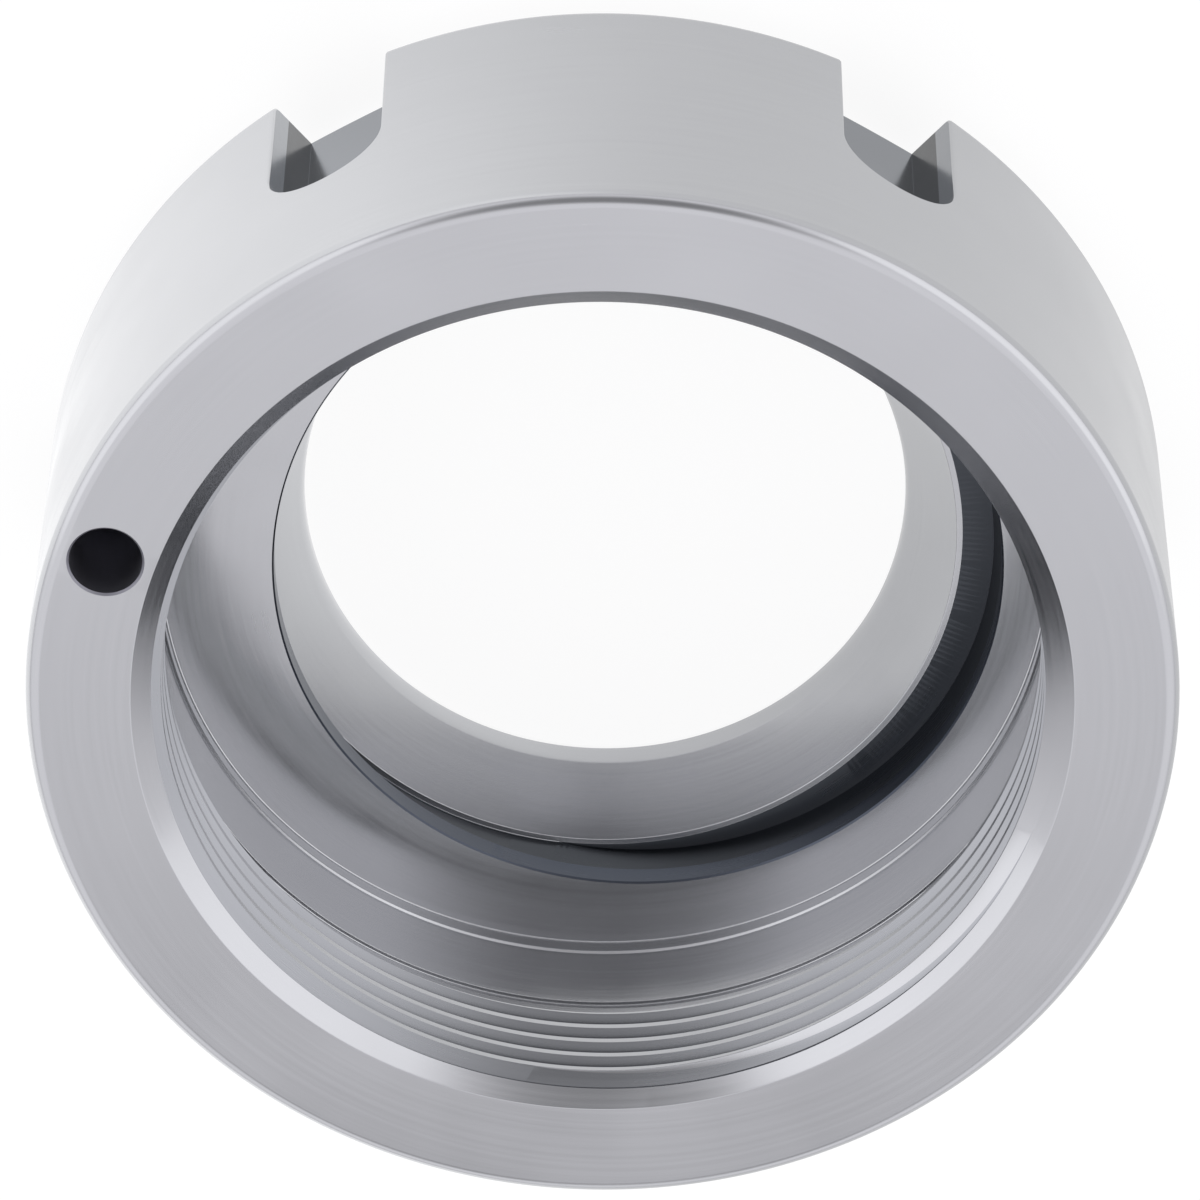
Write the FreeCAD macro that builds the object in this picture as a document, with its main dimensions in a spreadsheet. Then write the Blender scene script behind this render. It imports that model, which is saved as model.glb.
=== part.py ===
import FreeCAD, Part
import math
import os
import Sketcher
from FreeCAD import Placement, Rotation, Vector

# Collet nut for a 40 mm size spring collet, one piece of turned, hardened and ground steel.
# Frame: the nut stands on its slotted front face. The origin is the centre of that face, +Z runs along
# the nut's axis to the threaded rear end, and one spanner notch lies on +X. Lengths in mm, angles in degrees.
SIZES = [
    # Turned blank
    ("OuterDiameter", 63, "outside of the rim"),
    ("NutLength", 25.5, "front face to rear face"),
    ("BevelHeight", 3.0, "front bevel along the axis"),
    ("BevelAngle", 30, "front bevel from the face plane"),
    ("BevelBreak", 0.6, "chamfer between the front bevel and the rim"),
    ("RearRound", 0.8, "round on the rim's rear edge"),
    # Internal thread, cut from the rear face
    ("ThreadDiameter", 50, "major diameter"),
    ("ThreadPitch", 1.5, "pitch"),
    ("ThreadFlank", 30, "flank angle from the face plane"),
    ("MouthClearance", 0.76, "how far the lead-in chamfer opens past the major radius"),
    ("ReliefStart", 8.4, "rear face to the floor of the run-out groove"),
    ("ReliefEnd", 10.35, "rear face to the far side of the run-out groove"),
    ("ReliefClearance", 0.4, "groove floor outside the major radius"),
    ("BoreClearance", 0.16, "plain bore outside the major radius"),
    ("CornerStep", 0.2, "step at the foot of the plain bore"),
    ("CornerStepHeight", 0.94, "top of that step above the shoulder"),
    ("CornerRound", 0.9, "round between the step and the shoulder"),
    # Collet seat, from the front face up
    ("OpeningDiameter", 34.26, "hole in the front face"),
    ("OpeningBreak", 0.25, "chamfer on the hole's front edge"),
    ("OpeningLand", 1.1, "front face to where the seat cone would meet the hole"),
    ("ThroatRound", 2.0, "round between the seat cone and the hole"),
    ("SeatAngle", 30, "seat cone from the axis"),
    ("SeatRimDiameter", 39.8, "wide end of the seat cone"),
    # Extractor lip, bored out of centre so that the collet's flange can be tilted in behind it
    ("FlangeClearance", 0.4, "snap groove outside the seat's rim"),
    ("GrooveWidth", 1.6, "snap groove along the axis"),
    ("LipThickness", 1.46, "lip along the axis"),
    ("LipClearance", 0.57, "lip's bore outside the seat's rim"),
    ("LipOffset", 1.95, "centre of that bore from the nut's axis"),
    ("LipAngle", 167, "direction of the offset"),
    ("PocketTaper", 13, "narrowing of the pocket below the lip's edge, per side"),
    # Spanner notches, each one pass of an end mill that points at the axis
    ("NotchCount", 6, "notches around the rim"),
    ("NotchWidth", 7.0, "cutter diameter"),
    ("NotchHeight", 15.8, "front face to the notch's round end"),
    ("NotchFloor", 27.4, "nut's axis to the flat floor"),
    ("NotchBreak", 0.15, "chamfer on the notch's edges"),
    # Balance hole, drilled opposite the wide side of the pocket
    ("HoleDiameter", 4.0, "drill"),
    ("HoleDepth", 8.0, "full-width depth from the rear face"),
    ("HoleCircle", 56.8, "pitch circle"),
    ("HoleAngle", 342, "direction from the nut's axis"),
    ("HolePoint", 118, "angle of the drill's point"),
]

# Radii and heights that several features share, as expressions of the sizes
OUTER = "(Sizes.OuterDiameter / 2)"
BEVEL_FOOT = "(Sizes.OuterDiameter / 2 - Sizes.BevelHeight / tan(Sizes.BevelAngle))"
MAJOR = "(Sizes.ThreadDiameter / 2)"
MINOR = f"({MAJOR} - 5 / 8 * Sizes.ThreadPitch * cos(Sizes.ThreadFlank))"
MOUTH = f"({MAJOR} + Sizes.MouthClearance)"
RELIEF = f"({MAJOR} + Sizes.ReliefClearance)"
BORE = f"({MAJOR} + Sizes.BoreClearance)"
STEP = f"({BORE} - Sizes.CornerStep)"
OPENING = "(Sizes.OpeningDiameter / 2)"
SEAT_RIM = "(Sizes.SeatRimDiameter / 2)"
SEAT_TOP = f"(Sizes.OpeningLand + ({SEAT_RIM} - {OPENING}) / tan(Sizes.SeatAngle))"
SNAP_GROOVE = f"({SEAT_RIM} + Sizes.FlangeClearance)"
LIP_BORE = f"({SEAT_RIM} + Sizes.LipClearance)"
LIP_FACE = f"({SEAT_TOP} + Sizes.GrooveWidth)"
SHOULDER = f"({LIP_FACE} + Sizes.LipThickness)"
NEAR = 1e-4


def make_sheet(doc):
    """The driving sizes, one row each: name, value, meaning."""
    sheet = doc.addObject("Spreadsheet::Sheet", "Sizes")
    for row, (name, value, meaning) in enumerate(SIZES, 1):
        sheet.set(f"A{row}", name)
        sheet.set(f"B{row}", str(value))
        sheet.setAlias(f"B{row}", name)
        sheet.set(f"C{row}", meaning)
    doc.recompute()
    return sheet


def new_sketch(body, name, role, offset="0", turn_axis=Vector(0, 0, 1), turn="0"):
    """A sketch on one of the body's origin planes, moved off that plane and turned by expressions."""
    sketch = body.newObject("Sketcher::SketchObject", name)
    plane = next(item for item in body.Origin.OriginFeatures if item.Role == role)
    sketch.AttachmentSupport = [(plane, "")]
    sketch.MapMode = "FlatFace"
    start = Vector(0, 0, sketch.evalExpression(offset))
    sketch.AttachmentOffset = Placement(start, Rotation(turn_axis, sketch.evalExpression(turn)))
    sketch.setExpression("AttachmentOffset.Base.z", offset)
    if turn != "0":
        sketch.setExpression("AttachmentOffset.Rotation.Angle", turn)
    return sketch


def pin_point(sketch, line, end, x, y):
    """Holds one end of a line at the coordinates that two expressions give."""
    for kind, text, axis in (("DistanceX", x, -2), ("DistanceY", y, -1)):
        if text == "0":
            sketch.addConstraint(Sketcher.Constraint("PointOnObject", line, end, axis))
        else:
            value = sketch.evalExpression(text)
            number = sketch.addConstraint(Sketcher.Constraint(kind, -1, 1, line, end, value))
            sketch.setExpression(f"Constraints[{number}]", text)


def draw_outline(sketch, corners):
    """A closed outline of straight lines through corners given as pairs of expressions."""
    points = [Vector(sketch.evalExpression(x), sketch.evalExpression(y), 0) for x, y in corners]
    count = len(points)
    lines = [sketch.addGeometry(Part.LineSegment(points[i], points[(i + 1) % count])) for i in range(count)]
    for i, line in enumerate(lines):
        sketch.addConstraint(Sketcher.Constraint("Coincident", line, 2, lines[(i + 1) % count], 1))
        pin_point(sketch, line, 1, *corners[i])


def ring_edge(feature, radius, height):
    """Name of the full circle about the nut's axis with the given radius and height."""
    r = feature.evalExpression(radius)
    z = feature.evalExpression(height)
    for number, edge in enumerate(feature.Shape.Edges, 1):
        curve = edge.Curve
        if isinstance(curve, Part.Circle) and abs(curve.Radius - r) < NEAR:
            if abs(curve.Center.z - z) < NEAR:
                return f"Edge{number}"
    raise ValueError(f"no edge at radius {r}, height {z}")


def finish_ring(body, name, radius, height, **sizes):
    """A round or a chamfer on the turned edge with the given radius and height."""
    base = body.Tip
    kind = "Fillet" if "Radius" in sizes else "Chamfer"
    finish = body.newObject(f"PartDesign::{kind}", name)
    finish.Base = (base, [ring_edge(base, radius, height)])
    for size, expression in sizes.items():
        finish.setExpression(size, expression)
    body.Document.recompute()


def turn_blank(body):
    """The section that is concentric with the nut's axis, turned through a full circle."""
    sketch = new_sketch(body, "section", "XZ_Plane")
    draw_outline(sketch, [
        (f"{OPENING} + Sizes.OpeningBreak", "0"),
        (BEVEL_FOOT, "0"),
        (OUTER, "Sizes.BevelHeight"),
        (OUTER, "Sizes.NutLength"),
        (MOUTH, "Sizes.NutLength"),
        (MINOR, f"Sizes.NutLength - ({MOUTH} - {MINOR})"),
        (MINOR, f"Sizes.NutLength - Sizes.ReliefStart + ({RELIEF} - {MINOR}) * tan(Sizes.ThreadFlank)"),
        (RELIEF, "Sizes.NutLength - Sizes.ReliefStart"),
        (RELIEF, "Sizes.NutLength - Sizes.ReliefEnd"),
        (BORE, "Sizes.NutLength - Sizes.ReliefEnd"),
        (BORE, f"{SHOULDER} + Sizes.CornerStepHeight + Sizes.CornerStep"),
        (STEP, f"{SHOULDER} + Sizes.CornerStepHeight"),
        (STEP, SHOULDER),
        (OPENING, SHOULDER),
        (OPENING, LIP_FACE),
        (SNAP_GROOVE, LIP_FACE),
        (SNAP_GROOVE, SEAT_TOP),
        (SEAT_RIM, SEAT_TOP),
        (OPENING, "Sizes.OpeningLand"),
        (OPENING, "Sizes.OpeningBreak"),
    ])
    blank = body.newObject("PartDesign::Revolution", "turned_blank")
    blank.Profile = sketch
    blank.ReferenceAxis = (sketch, ["V_Axis"])
    blank.Angle = 360
    body.Document.recompute()
    finish_ring(body, "rear_round", OUTER, "Sizes.NutLength", Radius="Sizes.RearRound")
    finish_ring(body, "bevel_break", OUTER, "Sizes.BevelHeight", Size="Sizes.BevelBreak")
    finish_ring(body, "throat_round", OPENING, "Sizes.OpeningLand", Radius="Sizes.ThroatRound")
    finish_ring(body, "corner_round", STEP, SHOULDER, Radius="Sizes.CornerRound")


def bore_lip(body):
    """The extractor lip: a bore out of centre, straight through the lip and tapered down to the seat's rim."""
    sketch = new_sketch(body, "lip_section", "XZ_Plane", turn_axis=Vector(0, 1, 0), turn="Sizes.LipAngle")
    centre = "Sizes.LipOffset"
    floor = f"{centre} + {LIP_BORE} - Sizes.GrooveWidth * tan(Sizes.PocketTaper)"
    draw_outline(sketch, [
        (centre, SEAT_TOP),
        (floor, SEAT_TOP),
        (f"{centre} + {LIP_BORE}", LIP_FACE),
        (f"{centre} + {LIP_BORE}", "Sizes.NutLength"),
        (centre, "Sizes.NutLength"),
    ])
    offset = sketch.evalExpression(centre)
    low, high = Vector(offset, 0, 0), Vector(offset, sketch.evalExpression("Sizes.NutLength"), 0)
    axis = sketch.addGeometry(Part.LineSegment(low, high), True)
    pin_point(sketch, axis, 1, centre, "0")
    pin_point(sketch, axis, 2, centre, "Sizes.NutLength")
    bore = body.newObject("PartDesign::Groove", "lip_bore")
    bore.Profile = sketch
    bore.ReferenceAxis = (sketch, ["Axis0"])
    bore.Angle = 360
    body.Document.recompute()


def mill_notches(body):
    """Spanner notches: straight walls, a full round end and a flat floor, repeated around the rim."""
    sketch = new_sketch(body, "notch_outline", "YZ_Plane", offset="Sizes.NotchFloor")
    half = sketch.evalExpression("Sizes.NotchWidth / 2")
    centre = Vector(0, sketch.evalExpression("Sizes.NotchHeight") - half, 0)
    side = Vector(half, 0, 0)
    right = sketch.addGeometry(Part.LineSegment(side, side + centre))
    end = sketch.addGeometry(Part.Arc(centre + side, centre + Vector(0, half, 0), centre - side))
    left = sketch.addGeometry(Part.LineSegment(centre - side, -side))
    mouth = sketch.addGeometry(Part.LineSegment(-side, side))
    for rule in (
        ("Tangent", right, 2, end, 1),
        ("Tangent", end, 2, left, 1),
        ("Coincident", left, 2, mouth, 1),
        ("Coincident", mouth, 2, right, 1),
        ("Vertical", right),
        ("PointOnObject", mouth, 1, -1),
        ("Symmetric", mouth, 1, mouth, 2, -1, 1),
    ):
        sketch.addConstraint(Sketcher.Constraint(*rule))
    width = sketch.addConstraint(Sketcher.Constraint("DistanceX", mouth, 1, mouth, 2, 2 * half))
    sketch.setExpression(f"Constraints[{width}]", "Sizes.NotchWidth")
    height = sketch.addConstraint(Sketcher.Constraint("DistanceY", -1, 1, end, 3, centre.y))
    sketch.setExpression(f"Constraints[{height}]", "Sizes.NotchHeight - Sizes.NotchWidth / 2")
    notch = body.newObject("PartDesign::Pocket", "notch")
    notch.Profile = sketch
    notch.Type = "ThroughAll"
    notch.Reversed = True
    body.Document.recompute()
    ring = body.newObject("PartDesign::PolarPattern", "notch_ring")
    ring.Originals = [notch]
    ring.Axis = (next(item for item in body.Origin.OriginFeatures if item.Role == "Z_Axis"), [""])
    ring.Angle = 360
    ring.setExpression("Occurrences", "Sizes.NotchCount")
    body.Tip = ring
    body.Document.recompute()


def break_notch_edges(body):
    """A small chamfer where the notches cut the rim's cylinder."""
    base = body.Tip
    rim = base.evalExpression(OUTER)
    names = []
    for number, edge in enumerate(base.Shape.Edges, 1):
        reach = min(math.hypot(*edge.valueAt(place)[:2]) for place in edge.ParameterRange)
        turned = isinstance(edge.Curve, Part.Circle) and abs(edge.Curve.Axis.z) > 1 - NEAR
        corner = len(base.Shape.ancestorsOfType(edge, Part.Face)) == 2
        if reach > rim - NEAR and corner and not turned:
            names.append(f"Edge{number}")
    chamfer = body.newObject("PartDesign::Chamfer", "notch_breaks")
    chamfer.Base = (base, names)
    chamfer.setExpression("Size", "Sizes.NotchBreak")
    body.Document.recompute()


def drill_balance_hole(body):
    """Blind drilled hole in the rear face that balances the pocket."""
    sketch = new_sketch(body, "hole_centre", "XY_Plane", offset="Sizes.NutLength", turn="Sizes.HoleAngle")
    centre = Vector(sketch.evalExpression("Sizes.HoleCircle / 2"), 0, 0)
    radius = sketch.evalExpression("Sizes.HoleDiameter / 2")
    circle = sketch.addGeometry(Part.Circle(centre, Vector(0, 0, 1), radius))
    pin_point(sketch, circle, 3, "Sizes.HoleCircle / 2", "0")
    size = sketch.addConstraint(Sketcher.Constraint("Diameter", circle, 2 * radius))
    sketch.setExpression(f"Constraints[{size}]", "Sizes.HoleDiameter")
    body.Document.recompute()
    hole = body.newObject("PartDesign::Hole", "balance_hole")
    hole.Profile = sketch
    hole.DepthType = "Dimension"
    hole.DrillPoint = "Angled"
    hole.setExpression("Diameter", "Sizes.HoleDiameter")
    hole.setExpression("Depth", "Sizes.HoleDepth")
    hole.setExpression("DrillPointAngle", "Sizes.HolePoint")
    body.Document.recompute()


def make_nut_body(doc):
    """The whole nut, in the order in which it is machined."""
    body = doc.addObject("PartDesign::Body", "nut_body")
    body.Label = "nut_body"
    doc.recompute()
    turn_blank(body)
    bore_lip(body)
    mill_notches(body)
    break_notch_edges(body)
    drill_balance_hole(body)
    body.Placement = Placement()
    return body


def check(doc, parts):
    """Stops if any feature has failed or a part has no sound solid."""
    for item in doc.Objects:
        if "Invalid" in item.State or "Error" in item.State:
            raise RuntimeError(f"{item.Label} failed: {item.State}")
    for part in parts:
        if part.Shape.isNull() or not part.Shape.isValid() or len(part.Shape.Solids) != 1:
            raise RuntimeError(f"{part.Label} has no sound single solid")


doc = FreeCAD.newDocument("collet_nut")
make_sheet(doc)
parts = [make_nut_body(doc)]
doc.recompute()
check(doc, parts)
os.makedirs("parts", exist_ok=True)
for part in parts:
    part.Shape.exportStep(f"parts/{part.Label}.step")
    print(part.Label, "volume", round(part.Shape.Volume, 1), "mm3, box", part.Shape.BoundBox)
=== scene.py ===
from math import ceil, cos, degrees, radians, sin, tan, tau

import bpy
from mathutils import Matrix, Vector


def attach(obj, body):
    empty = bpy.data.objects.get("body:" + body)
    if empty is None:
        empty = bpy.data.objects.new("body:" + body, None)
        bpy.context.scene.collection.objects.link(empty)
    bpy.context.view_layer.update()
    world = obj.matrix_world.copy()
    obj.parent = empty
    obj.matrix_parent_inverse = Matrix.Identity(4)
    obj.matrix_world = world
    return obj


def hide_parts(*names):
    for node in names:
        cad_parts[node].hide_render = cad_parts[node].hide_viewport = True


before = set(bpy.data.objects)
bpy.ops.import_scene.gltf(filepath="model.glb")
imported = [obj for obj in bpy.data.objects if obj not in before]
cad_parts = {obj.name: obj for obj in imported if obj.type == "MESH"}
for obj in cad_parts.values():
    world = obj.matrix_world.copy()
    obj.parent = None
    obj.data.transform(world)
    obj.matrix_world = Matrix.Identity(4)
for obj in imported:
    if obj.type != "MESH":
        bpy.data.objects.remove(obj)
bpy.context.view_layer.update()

# Camera. It looks down on the open, threaded end from over the rim, with the picture turned by half a turn,
# so the rim with its notches is at the top. Lens, aim and distance come from the photograph's own ellipses.
MM = 0.001
camera_azimuth, camera_elevation, camera_roll = radians(-89.70), radians(60.61), radians(-179.26)
camera_aim, camera_distance = Vector((0.203, 0.655, 12.0)) * MM, 493.5 * MM
back = Vector((cos(camera_elevation) * cos(camera_azimuth), cos(camera_elevation) * sin(camera_azimuth),
               sin(camera_elevation)))
level = Vector((0, 0, 1)).cross(back).normalized()
right = level * cos(camera_roll) + back.cross(level) * sin(camera_roll)
turned = Matrix((right, back.cross(right), back)).transposed()
camera_data = bpy.data.cameras.new("camera")
camera_data.sensor_width, camera_data.lens = 36, 264.8
camera_data.clip_start, camera_data.clip_end = 0.01, 10
camera = bpy.data.objects.new("camera", camera_data)
bpy.context.collection.objects.link(camera)
camera.matrix_world = Matrix.Translation(camera_aim + back * camera_distance) @ turned.to_4x4()
bpy.context.scene.camera = camera


# Bench and light. A matt white bench under a white tent of cloth, with a broad soft lamp on each side. The
# tent is dimmer round the camera, straight across from it and at its foot, and the ground faces show that.
def linear(hex_colour):
    """An sRGB hex colour as linear red, green, blue and alpha."""
    parts = [int(hex_colour[i:i + 2], 16) / 255 for i in (1, 3, 5)]
    return [part / 12.92 if part <= 0.04045 else ((part + 0.055) / 1.055) ** 2.4 for part in parts] + [1]


def add_node(tree, kind, inputs=None, **settings):
    """Adds a node with its settings. An input takes a value, a node's output, or a node's first output."""
    node = tree.nodes.new(kind)
    for name, value in settings.items():
        setattr(node, name, value)
    for name, value in (inputs or {}).items():
        if isinstance(value, bpy.types.Node):
            tree.links.new(value.outputs[0], node.inputs[name])
        elif isinstance(value, bpy.types.NodeSocket):
            tree.links.new(value, node.inputs[name])
        else:
            node.inputs[name].default_value = value
    return node


def new_tree(owner):
    """The emptied node tree of a material or a world."""
    owner.use_nodes = True
    owner.node_tree.nodes.clear()
    return owner.node_tree


def toward(azimuth, elevation):
    """Unit vector to a point of the tent; azimuth 0 is on the camera's side, turning to +X."""
    a, e = radians(azimuth), radians(elevation)
    return (sin(a) * cos(e), -cos(a) * cos(e), sin(e))


def tent_patch(tree, ray, centre, edge, middle, around, inside):
    """The tent's level: around it outside the edge angle, inside it within the middle angle, in degrees."""
    along = add_node(tree, "ShaderNodeVectorMath", {0: ray, 1: centre}, operation="DOT_PRODUCT")
    return add_node(tree, "ShaderNodeMapRange", {
        "Value": along.outputs["Value"], "From Min": cos(radians(edge)), "From Max": cos(radians(middle)),
        "To Min": around, "To Max": inside}, interpolation_type="SMOOTHSTEP")


tent_colour, foot_top, foot_level = "#fdfcff", radians(22), 0.72
tent = bpy.data.worlds.new("white_tent")
bpy.context.scene.world = tent
tree = new_tree(tent)
ray = add_node(tree, "ShaderNodeTexCoord").outputs["Generated"]
near_side = tent_patch(tree, ray, toward(0, 48), edge=34, middle=10, around=1.0, inside=0.3)
far_side = tent_patch(tree, ray, toward(180, 47), edge=16, middle=6, around=1.15, inside=0.55)
height = add_node(tree, "ShaderNodeSeparateXYZ", {"Vector": ray}).outputs["Z"]
foot = add_node(tree, "ShaderNodeMapRange", {
    "Value": height, "From Min": 0.0, "From Max": sin(foot_top), "To Min": foot_level, "To Max": 1.0},
    interpolation_type="SMOOTHSTEP")
strength = add_node(tree, "ShaderNodeMath", {0: near_side, 1: far_side}, operation="MULTIPLY")
strength = add_node(tree, "ShaderNodeMath", {0: strength, 1: foot}, operation="MULTIPLY")
sky = add_node(tree, "ShaderNodeBackground", {"Color": linear(tent_colour), "Strength": strength})
add_node(tree, "ShaderNodeOutputWorld", {"Surface": sky})

lamp_width, lamp_height, lamp_energy = 0.95, 0.62, 0.6
lamp_azimuth, lamp_elevation, lamp_distance = 68, 28, 0.8
for side in (-1, 1):
    lamp_data = bpy.data.lights.new("side_lamp", "AREA")
    lamp_data.shape, lamp_data.size, lamp_data.size_y = "RECTANGLE", lamp_width, lamp_height
    lamp_data.energy = lamp_energy
    lamp = bpy.data.objects.new("side_lamp", lamp_data)
    bpy.context.collection.objects.link(lamp)
    lamp.location = Vector(toward(lamp_azimuth * side, lamp_elevation)) * lamp_distance
    lamp.rotation_euler = lamp.location.to_track_quat("Z", "Y").to_euler()

# Matt paint, which the camera sees as nearly white. Its own colour is gray, so that it throws little light
# up. The ground faces mirror a painted glow off it, brighter towards +X than towards -X.
bench_colour, bench_size, bench_drop = "#6e6e6e", 6, 0.05 * MM
seen_level = 0.88
dull_end, dull_level = -12 * MM, 0.78
bright_end, bright_level = 34 * MM, 1.14
bpy.ops.object.select_all(action="DESELECT")
bpy.ops.mesh.primitive_plane_add(size=bench_size, location=(0, 0, -bench_drop))
bench = bpy.context.object
bench.name = "bench"
bench_paint = bpy.data.materials.new("white_bench")
tree = new_tree(bench_paint)
path = add_node(tree, "ShaderNodeLightPath")
seen = add_node(tree, "ShaderNodeMath", {
    0: path.outputs["Is Camera Ray"], 1: path.outputs["Is Transmission Ray"]}, operation="MAXIMUM")
seen = add_node(tree, "ShaderNodeMath", {0: seen, 1: seen_level}, operation="MULTIPLY")
place = add_node(tree, "ShaderNodeTexCoord").outputs["Object"]
place_x = add_node(tree, "ShaderNodeSeparateXYZ", {"Vector": place}).outputs["X"]
# Painted reflection: the glow that glossy rays see rises from dull_level at -X to bright_level at +X.
painted_reflection_level = add_node(tree, "ShaderNodeMapRange", {
    "Value": place_x, "From Min": dull_end, "From Max": bright_end,
    "To Min": dull_level, "To Max": bright_level}, interpolation_type="SMOOTHSTEP")
lift = add_node(tree, "ShaderNodeMath", {
    0: path.outputs["Is Glossy Ray"], 1: painted_reflection_level, 2: seen}, operation="MULTIPLY_ADD")
matte = add_node(tree, "ShaderNodeBsdfDiffuse", {"Color": linear(bench_colour)})
glow = add_node(tree, "ShaderNodeEmission", {"Color": (1, 1, 1, 1), "Strength": lift})
both = add_node(tree, "ShaderNodeAddShader", {0: matte, 1: glow})
add_node(tree, "ShaderNodeOutputMaterial", {"Surface": both})
bench.data.materials.append(bench_paint)


# Turned blank. The nut is one ring of hardened steel. Its rim, faces, front bevel, plain bore, shoulder and
# collet seat are turned and then ground, the snap groove is only turned, and the corners get small rounds.
TURN_STEPS = 360
WIDEST_FACET = 9
WELD = 0.001 * MM
rim, length = 31.5, 25.5
bevel_height, bevel_angle = 3.0, radians(30)
opening, opening_break, opening_top = 17.13, 0.25, 1.1
seat_rim, seat_angle = 19.9, radians(30)
seat_top = opening_top + (seat_rim - opening) / tan(seat_angle)
groove_width, groove_depth = 1.6, 0.4
lip_edge = seat_top + groove_width
lip_thickness = 1.46
shoulder = lip_edge + lip_thickness
thread_major, thread_pitch, thread_flank = 25.0, 1.5, radians(30)
thread_minor = thread_major - 5 / 8 * thread_pitch * cos(thread_flank)
bore = thread_major + 0.16
bore_step, bore_step_foot, bore_step_top = 0.15, shoulder + 0.87, shoulder + 1.02
relief, relief_slope = thread_major + 0.4, radians(30)
relief_top, relief_foot = length - 8.4, length - 10.35
mouth = thread_major + 0.76


def rounded(corners):
    """Points of a closed outline of (radius, height, round) corners, with each round drawn as an arc."""
    points = []
    for i, (radius, height, size) in enumerate(corners):
        here = Vector((radius, height))
        if not size:
            points.append(here)
            continue
        to_before = (Vector(corners[i - 1][:2]) - here).normalized()
        to_after = (Vector(corners[(i + 1) % len(corners)][:2]) - here).normalized()
        half = to_before.angle(to_after) / 2
        centre = here + (to_before + to_after).normalized() * size / sin(half)
        start = (here + to_before * size / tan(half) - centre).normalized()
        end = (here + to_after * size / tan(half) - centre).normalized()
        steps = max(2, ceil(degrees(start.angle(end)) / WIDEST_FACET))
        points.extend(centre + start.slerp(end, step / steps) * size for step in range(steps + 1))
    return points


def draw_section(name, points):
    """A line of edges through (radius, height) points in millimetres, drawn by extruding one vertex."""
    bpy.ops.object.select_all(action="DESELECT")
    bpy.ops.mesh.primitive_plane_add(size=MM)
    piece = bpy.context.object
    piece.name = piece.data.name = name
    bpy.ops.object.mode_set(mode="EDIT")
    bpy.ops.mesh.select_mode(type="VERT")
    bpy.ops.mesh.merge(type="CENTER")
    here = Vector((0, 0))
    for number, there in enumerate(points):
        step = (Vector(there) - here) * MM
        if number:
            bpy.ops.mesh.extrude_region_move(TRANSFORM_OT_translate={"value": (step.x, 0, step.y)})
        else:
            bpy.ops.transform.translate(value=(step.x, 0, step.y))
        here = Vector(there)
    return piece


def close_skin():
    """Merges the doubles of the mesh in edit mode and points its faces outwards."""
    bpy.ops.mesh.select_all(action="SELECT")
    bpy.ops.mesh.remove_doubles(threshold=WELD)
    bpy.ops.mesh.normals_make_consistent(inside=False)
    bpy.ops.object.mode_set(mode="OBJECT")


def turn(steps=TURN_STEPS):
    """Spins the drawn section through a full circle about the upright axis."""
    bpy.ops.mesh.select_all(action="SELECT")
    bpy.ops.mesh.spin(steps=steps, angle=tau, center=(0, 0, 0), axis=(0, 0, 1))
    close_skin()


# A tool mark changes along its ring over the mark's length, and the shine drifts in clouds, both in mm. The
# tone is how far the colour moves with the marks, and faint to strong is the span of marks and clouds added.
MARK_LENGTH, CLOUD_SIZE = 14.0, 9.0
TONE = 0.04
FAINT, STRONG = 0.45, 1.05


def steel(name, colour, roughness, mark_width, mark_depth, haze, shade_band=None):
    """Steel with tool marks round the nut's axis, in mm, and an optional band of painted shade, given as its
    inner and outer radius and colour.
    """
    material = bpy.data.materials.new(name)
    tree = new_tree(material)
    place = add_node(tree, "ShaderNodeTexCoord").outputs["Object"]
    level = add_node(tree, "ShaderNodeVectorMath", {0: place, 1: (1, 1, 0)}, operation="MULTIPLY")
    radius = add_node(tree, "ShaderNodeVectorMath", {0: level}, operation="LENGTH").outputs["Value"]
    height = add_node(tree, "ShaderNodeSeparateXYZ", {"Vector": place}).outputs["Z"]
    across = add_node(tree, "ShaderNodeCombineXYZ", {"X": radius, "Y": height})
    fine = add_node(tree, "ShaderNodeVectorMath", {
        0: across, "Scale": 1 / (mark_width * MM)}, operation="SCALE")
    slow = add_node(tree, "ShaderNodeVectorMath", {
        0: place, "Scale": 1 / (MARK_LENGTH * MM)}, operation="SCALE")
    where = add_node(tree, "ShaderNodeVectorMath", {0: fine, 1: slow}, operation="ADD")
    marks = add_node(tree, "ShaderNodeTexNoise", {
        "Vector": where, "Scale": 1.0, "Detail": 3.0, "Roughness": 0.6})
    clouds = add_node(tree, "ShaderNodeTexNoise", {
        "Vector": place, "Scale": 1 / (CLOUD_SIZE * MM), "Detail": 2.0})
    worn = add_node(tree, "ShaderNodeMath", {0: marks, 1: 0.5, 2: clouds}, operation="MULTIPLY_ADD")
    sheen = add_node(tree, "ShaderNodeMapRange", {
        "Value": worn, "From Min": FAINT, "From Max": STRONG,
        "To Min": roughness - haze, "To Max": roughness + haze})
    bump = add_node(tree, "ShaderNodeBump", {"Height": marks, "Strength": 1.0, "Distance": mark_depth * MM})
    darker = [part * (1 - TONE) for part in linear(colour)]
    lighter = [part * (1 + TONE) for part in linear(colour)]
    tone = add_node(tree, "ShaderNodeMix", {0: marks, 6: darker, 7: lighter}, data_type="RGBA").outputs[2]
    if shade_band:
        inner, outer, shade_colour = shade_band
        # Painted shade: radii inside the band take its colour.
        in_shade_band = add_node(tree, "ShaderNodeMath", {
            0: radius, 1: (inner + outer) / 2 * MM, 2: (outer - inner) / 2 * MM}, operation="COMPARE")
        mixed = {0: in_shade_band, 6: tone, 7: linear(shade_colour)}
        tone = add_node(tree, "ShaderNodeMix", mixed, data_type="RGBA").outputs[2]
    shader = add_node(tree, "ShaderNodeBsdfPrincipled", {
        "Base Color": tone, "Metallic": 1.0, "Roughness": sheen, "Normal": bump})
    add_node(tree, "ShaderNodeOutputMaterial", {"Surface": shader})
    return material


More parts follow.
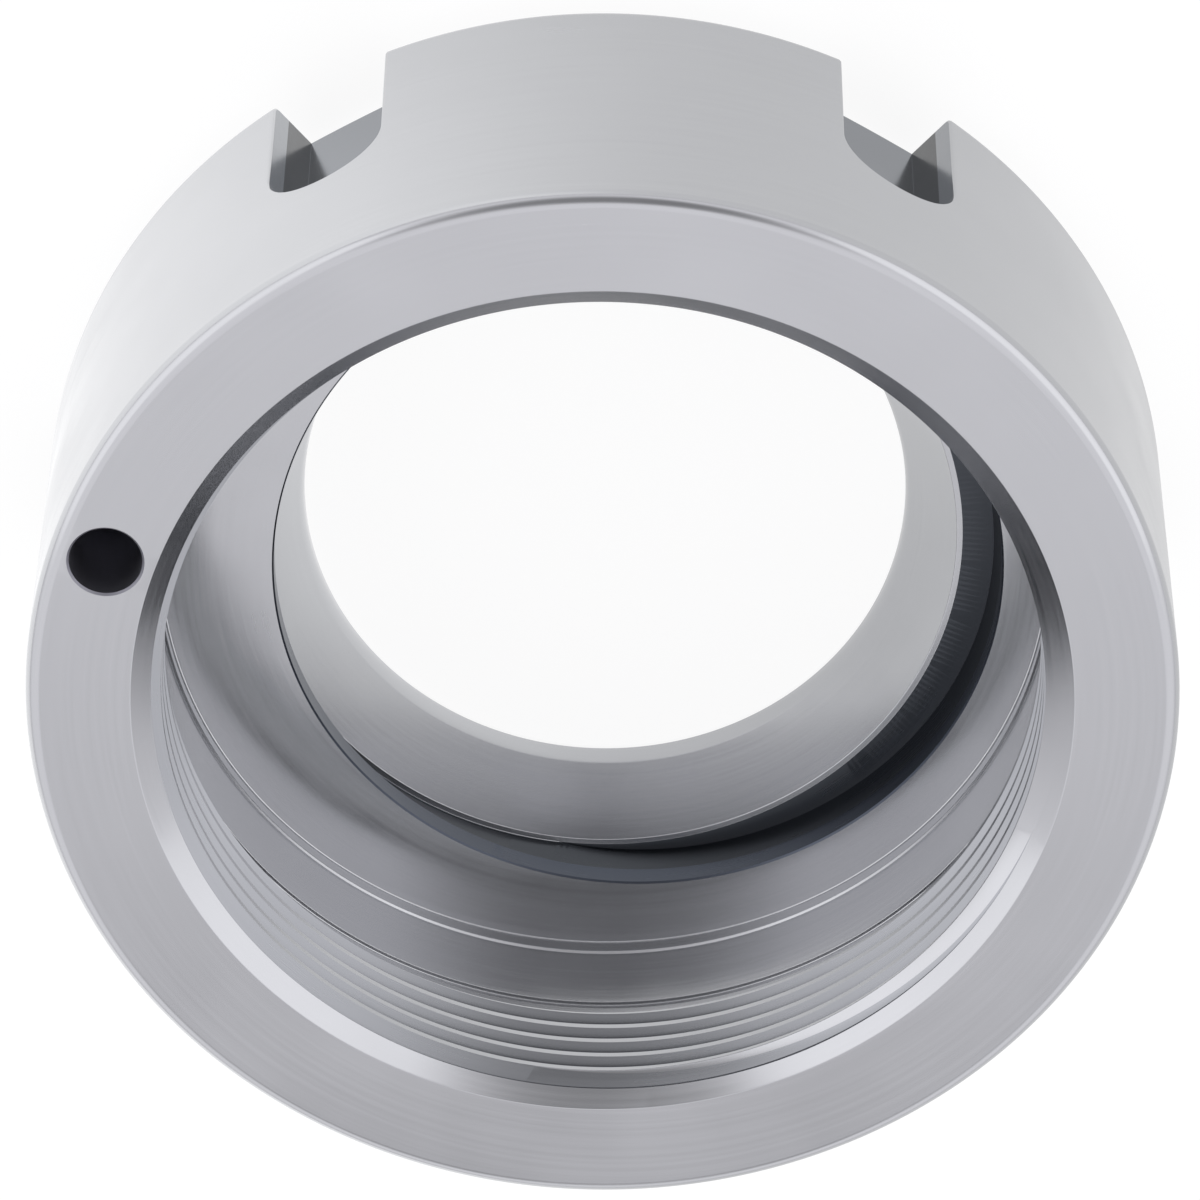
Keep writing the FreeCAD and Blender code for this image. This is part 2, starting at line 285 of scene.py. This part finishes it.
# Hardened steel ground all over: a bright satin that stretches reflections into rings round the axis. Real
# grinding marks lie about 0.02 mm apart, too fine to see here, so they are drawn 0.3 mm apart.
ground = steel("ground_steel", "#bdbec1", roughness=0.21, mark_width=0.3, mark_depth=0.0007, haze=0.07)

# Corners as (radius, height, round), from the front opening out over the rim and back in through the bore.
# The two without a round are stock that the lip's own bore takes away.
section = rounded([
    (opening, opening_break, 0.04),
    (opening + opening_break, 0, 0.04),
    (rim - bevel_height / tan(bevel_angle), 0, 1.0),
    (rim, bevel_height, 1.0),
    (rim, length, 0.8),
    (mouth, length, 0.08),
    (thread_minor, length - (mouth - thread_minor), 0.08),
    (thread_minor, relief_top + (relief - thread_minor) * tan(relief_slope), 0.06),
    (relief, relief_top, 0.2),
    (relief, relief_foot, 0.1),
    (bore, relief_foot, 0.05),
    (bore, bore_step_top, 0.1),
    (bore - bore_step, bore_step_foot, 0.1),
    (bore - bore_step, shoulder, 0.12),
    (opening, shoulder, 0),
    (opening, lip_edge, 0),
    (seat_rim + groove_depth, lip_edge, 0.1),
    (seat_rim + groove_depth, seat_top, 0.1),
    (seat_rim, seat_top, 0.06),
    (opening, opening_top, 2.0),
])
nut = draw_section("collet_nut", section + section[:1])
turn()
nut.data.materials.append(ground)


# Extractor lip. The bore in front of the shoulder is turned about an axis 1.95 mm off the nut's own, which
# leaves a crescent of lip on one side and a tapered pocket on the other. The pocket and the snap groove are
# painted nearly black: painted shade for these hollows behind the lip.
lip_bore, lip_offset, lip_side = seat_rim + 0.57, 1.95, radians(167)
pocket_taper = radians(13)
pocket_foot = lip_bore - groove_width * tan(pocket_taper)
tool_foot = seat_top + 0.002
lip_break = 0.1
# A tool runs out past a face by the clearance, and NEAR is how far off its line a place may lie.
CLEARANCE, NEAR = 0.4, 0.01


def cut(piece, tool, finish=None):
    """Takes the tool's shape out of the piece, leaves the tool's finish on the cut and deletes the tool."""
    if finish:
        tool.data.materials.append(finish)
    bpy.ops.object.select_all(action="DESELECT")
    bpy.context.view_layer.objects.active = piece
    piece.select_set(True)
    bpy.context.view_layer.update()
    knife = piece.modifiers.new("cut", "BOOLEAN")
    knife.operation, knife.object = "DIFFERENCE", tool
    knife.solver, knife.material_mode = "EXACT", "TRANSFER"
    bpy.ops.object.modifier_apply(modifier=knife.name)
    bpy.data.objects.remove(tool)


# Steel painted dark and faintly blue with a dull shine: painted shade for the snap groove and the pocket.
black = steel("black_painted_shade_steel", "#4a4d52", roughness=0.3, mark_width=0.3, mark_depth=0.0007, haze=0.06)
# The lip's bore: steel painted a dark gray-blue with a soft shine, as painted shade and dark reflection.
land = steel("lip_painted_shade_steel", "#50555f", roughness=0.26, mark_width=0.3, mark_depth=0.0007, haze=0.05)
# Painted shade: the snap groove's faces take the dark steel.
nut.data.materials.append(black)
for face in nut.data.polygons:
    if seat_top + NEAR < face.center.z / MM < lip_edge - NEAR and Vector(face.center.xy).length / MM < bore:
        face.material_index = nut.data.materials.find(black.name)

boring_tool = draw_section("boring_tool", [
    (0, tool_foot),
    (pocket_foot, tool_foot),
    (lip_bore, lip_edge),
    (lip_bore, shoulder - lip_break),
    (lip_bore + lip_break + CLEARANCE, shoulder + CLEARANCE),
    (0, shoulder + CLEARANCE),
])
turn()
# Painted shade: the pocket's faces take the dark steel.
boring_tool.data.materials.append(black)
boring_tool.data.materials.append(land)
# Painted shade: the lip's bore, above the lip's edge, takes the dark gray-blue steel.
for face in boring_tool.data.polygons:
    if face.center.z / MM > lip_edge:
        face.material_index = boring_tool.data.materials.find(land.name)
boring_tool.location = Vector((cos(lip_side), sin(lip_side), 0)) * lip_offset * MM
cut(nut, boring_tool)


# Thread. A fine metric thread of 60 degree form, 50 mm across and 1.5 mm a turn, cut by one point that is
# fed along as the nut turns and runs out into the relief groove. Here the point's whole path is one tap,
# which is taken out at once: crests lie whole turns from the crest height on +X, and the tap starts below.
crest_height, turns_below, tap_turns = 23.405, 5, 8
tap_low = crest_height - turns_below * thread_pitch
core = thread_minor - 0.25
# Steel cut by the threading point: a little grayer and rougher than ground steel, so the flanks look soft.
flank_steel = steel("thread_cut_steel", "#a2a4a8", roughness=0.26, mark_width=0.2, mark_depth=0.0007,
                    haze=0.05)


def flank_height(radius):
    """Height of the flank at this radius above the middle of the crest below it."""
    return thread_pitch / 8 + (radius - thread_minor) * tan(thread_flank)


def select_edges(piece, wanted):
    """Selects, in edit mode, the edges that are wanted for their end points, in mm, and their faces."""
    bpy.ops.object.mode_set(mode="OBJECT")
    bpy.context.tool_settings.mesh_select_mode = (False, True, False)
    mesh = piece.data
    for part in (*mesh.vertices, *mesh.edges, *mesh.polygons):
        part.select = False
    faces = {}
    for face in mesh.polygons:
        for key in face.edge_keys:
            faces.setdefault(key, []).append(face)
    for edge in mesh.edges:
        edge.select = wanted([mesh.vertices[i].co / MM for i in edge.vertices], faces.get(edge.key, []))
    bpy.ops.object.mode_set(mode="EDIT")


def open_end(points, faces):
    """An open edge of the end of the tap that is being closed."""
    return len(faces) == 1 and all(abs(point.z - tap_end) < 2 * thread_pitch for point in points)


def open_tooth(points, faces):
    """One of the three open edges round the tooth at that end."""
    at_start = all(abs(point.y) < NEAR for point in points)
    return open_end(points, faces) and at_start and max(point.x for point in points) > core + NEAR


tooth = [
    (core, flank_height(core)),
    (thread_major, flank_height(thread_major)),
    (thread_major, thread_pitch - flank_height(thread_major)),
    (core, thread_pitch - flank_height(core)),
]
one_turn = [(radius, tap_low + height) for radius, height in ((core, 0), *tooth, (core, thread_pitch))]
tap = draw_section("tap", one_turn)
bpy.ops.object.mode_set(mode="OBJECT")
wind = tap.modifiers.new("wind", "SCREW")
wind.steps = wind.render_steps = TURN_STEPS
wind.iterations, wind.screw_offset = tap_turns, thread_pitch * MM
bpy.ops.object.modifier_apply(modifier=wind.name)
bpy.ops.object.mode_set(mode="EDIT")
bpy.ops.mesh.select_all(action="SELECT")
bpy.ops.mesh.remove_doubles(threshold=WELD)
for tap_end in (tap_low, tap_low + tap_turns * thread_pitch):
    select_edges(tap, open_tooth)
    bpy.ops.mesh.edge_face_add()
    select_edges(tap, open_end)
    bpy.ops.mesh.extrude_edges_move()
    bpy.ops.mesh.merge(type="CENTER")
close_skin()
cut(nut, tap, flank_steel)


# Spanner notches. Six notches with a round end are milled square to the axis through the rim, evenly spaced,
# and their edges are broken with a file or a brush after milling.
notch_count, notch_width, notch_floor, notch_height, notch_break = 6, 7.0, 27.4, 15.8, 0.15
# Painted shade: the notches' walls, from just off the floor out to 30 mm, are painted nearly black.
shade_inner, shade_outer, shade_colour = notch_floor + 0.24, 30.0, "#1f2227"
NOTCH_STEPS, MILL_OVERRUN = 96, 1
# Milled steel: grayer than the ground faces, with broad marks, and with a nearly black band of painted shade
# on the inner part of the notch's walls, standing in for their shade and dark reflection.
milled = steel("milled_steel_painted_shade", "#8b8e93", roughness=0.22, mark_width=0.5, mark_depth=0.001, haze=0.06,
               shade_band=(shade_inner, shade_outer, shade_colour))
notch_depth = rim + MILL_OVERRUN - notch_floor
notch_centre = (notch_height - notch_width / 2) * MM
for number in range(notch_count):
    bpy.ops.object.select_all(action="DESELECT")
    bpy.ops.mesh.primitive_cylinder_add(
        vertices=NOTCH_STEPS, radius=notch_width / 2 * MM, depth=notch_depth * MM,
        location=((notch_floor + notch_depth / 2) * MM, 0, notch_centre), rotation=(0, radians(90), 0))
    mill = bpy.context.object
    bpy.ops.object.transform_apply()
    bpy.ops.object.mode_set(mode="EDIT")
    bpy.ops.mesh.select_all(action="SELECT")
    bpy.ops.mesh.bisect(plane_co=(0, 0, notch_centre), plane_no=(0, 0, 1), clear_inner=True, use_fill=True)
    bpy.ops.mesh.extrude_region_move(TRANSFORM_OT_translate={"value": (0, 0, -notch_height * MM)})
    close_skin()
    mill.matrix_world = Matrix.Rotation(tau * number / notch_count, 4, "Z")
    cut(nut, mill, milled)


# Balance hole. One blind hole, 4 mm across, is drilled into the rear face opposite the pocket, which takes
# out the weight that the lip adds on that side. It is left as drilled and turns black in hardening.
hole_radius, hole_depth, hole_circle, hole_side = 2.0, 8.0, 28.4, radians(342)
drill_point, hole_break, HOLE_STEPS = radians(118), 0.12, 64
drill = draw_section("drill", [
    (0, length - hole_depth - hole_radius / tan(drill_point / 2)),
    (hole_radius, length - hole_depth),
    (hole_radius, length - hole_break),
    (hole_radius + hole_break + CLEARANCE, length + CLEARANCE),
    (0, length + CLEARANCE),
])
turn(HOLE_STEPS)
drill.location = Vector((cos(hole_side), sin(hole_side), 0)) * hole_circle * MM
# A drilled wall under its skin of hardening: dull and rough, so that little light comes back out of it.
drilled = steel("black_drilled_steel", "#8e8e96", roughness=0.5, mark_width=0.4, mark_depth=0.002, haze=0.06)
cut(nut, drill, drilled)


# Finish of the edges. The notches' edges are rounded with a brush where they meet the outside of the nut,
# and the whole ring then gets smooth shading, with the sharp corners kept.
SLIVER, SHORT_EDGE = 0.004 * MM, 0.05 * MM
BREAK_STEPS, SHARP_CORNER = 2, radians(25)
bpy.ops.object.mode_set(mode="EDIT")
bpy.ops.mesh.select_all(action="SELECT")
bpy.ops.mesh.remove_doubles(threshold=SLIVER)
bpy.ops.mesh.dissolve_degenerate(threshold=SLIVER)
bpy.ops.object.mode_set(mode="OBJECT")
notch_slot = nut.data.materials.find(milled.name)


def notch_outline(points, faces):
    """An edge between a notch's wall and the outside of the nut."""
    return len({face.material_index == notch_slot for face in faces}) == 2


select_edges(nut, notch_outline)
bpy.ops.mesh.remove_doubles(threshold=SHORT_EDGE)
select_edges(nut, notch_outline)
bpy.ops.mesh.bevel(offset=notch_break * MM, segments=BREAK_STEPS, profile=0.5, affect="EDGES",
                   clamp_overlap=False, material=nut.data.materials.find(ground.name))
close_skin()

bpy.ops.object.shade_smooth_by_angle(angle=SHARP_CORNER)
even = nut.modifiers.new("even", "WEIGHTED_NORMAL")
even.keep_sharp = True
bpy.ops.object.modifier_apply(modifier=even.name)

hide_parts("nut_body")
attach(nut, "root")

bpy.context.scene.view_settings.view_transform = "Standard"
